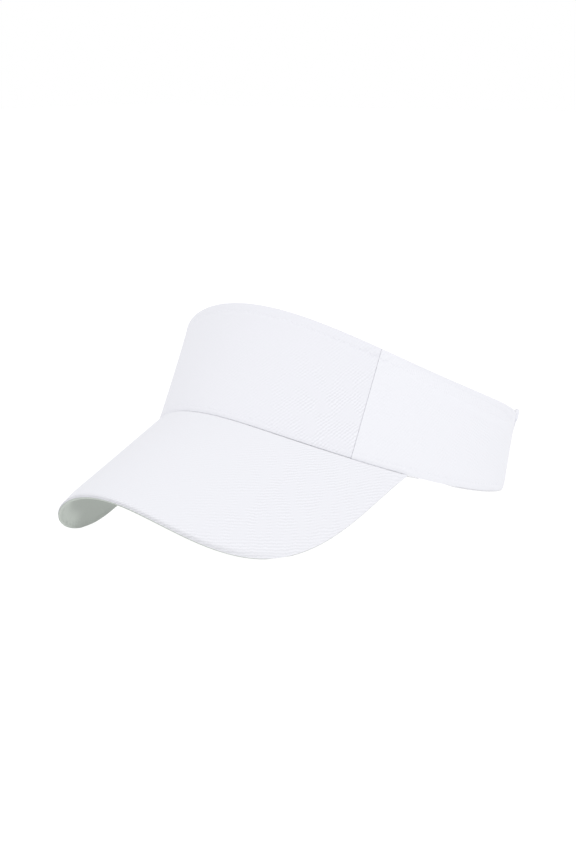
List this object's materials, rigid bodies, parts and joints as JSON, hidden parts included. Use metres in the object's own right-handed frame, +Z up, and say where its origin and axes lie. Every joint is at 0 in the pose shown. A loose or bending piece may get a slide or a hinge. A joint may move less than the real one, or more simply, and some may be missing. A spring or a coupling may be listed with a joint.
{
  "type": "sun visor",
  "caption": "Cotton twill sun visor: an open panelled head band with an arched stiff bill, an inner sweatband and a hook-and-loop strap at the nape.",
  "frame": {"origin": "on the surface the visor stands on, under the middle of its bounding box", "axes": "-Y is the front, where the bill points; +X is the wearer's left; +Z is up while the visor stands on a table"},
  "size_m": [0.18, 0.2848, 0.1151],
  "materials": {
    "white_twill": "cool white cotton twill, matt, with steep diagonal ribs about 1.5 mm apart",
    "under_twill": "grey cotton twill with a slight green cast, matt, under the bill to cut glare",
    "lining_cloth": "plain weave white cotton lining and tape, matt",
    "terry": "white cotton terry, soft looped pile",
    "buckram": "stiffened open-weave backing cloth, off-white",
    "core_felt": "thin non-woven padding, off-white",
    "board_plastic": "flexible polyethylene sheet, matt",
    "loop_pile": "white brushed nylon loop tape",
    "hook_plastic": "white moulded nylon hook tape",
    "satin_label": "blank white satin ribbon label"
  },
  "bodies": {
    "visor": {"front_panel": "white_twill", "side_panel_left": "white_twill", "side_panel_right": "white_twill", "front_stiffener": "buckram", "side_lining_left": "lining_cloth", "side_lining_right": "lining_cloth", "seam_tape_left": "lining_cloth", "seam_tape_right": "lining_cloth", "top_facing_tape": "lining_cloth", "sweatband_core": "core_felt", "sweatband": "terry", "bill_cover_top": "white_twill", "bill_board": "board_plastic", "bill_cover_under": "under_twill", "loop_tape": "loop_pile"},
    "strap": {"closure_strap": "white_twill", "hook_tape": "hook_plastic"},
    "label": {"care_label": "satin_label"}
  },
  "joints": [
    {"name": "closure_peel", "type": "hinge", "parent": "visor", "child": "strap", "pos_m": [-0.01462, 0.13473, 0.01775], "axis": [-0.0356, 0.2843, 0.9581], "range_deg": [0, 150]},
    {"name": "label_flap", "type": "hinge", "parent": "visor", "child": "label", "pos_m": [0.07955, 0.07272, 0.03413], "axis": [-0.3274, 0.9332, -0.148], "range_deg": [0, 110]}
  ]
}
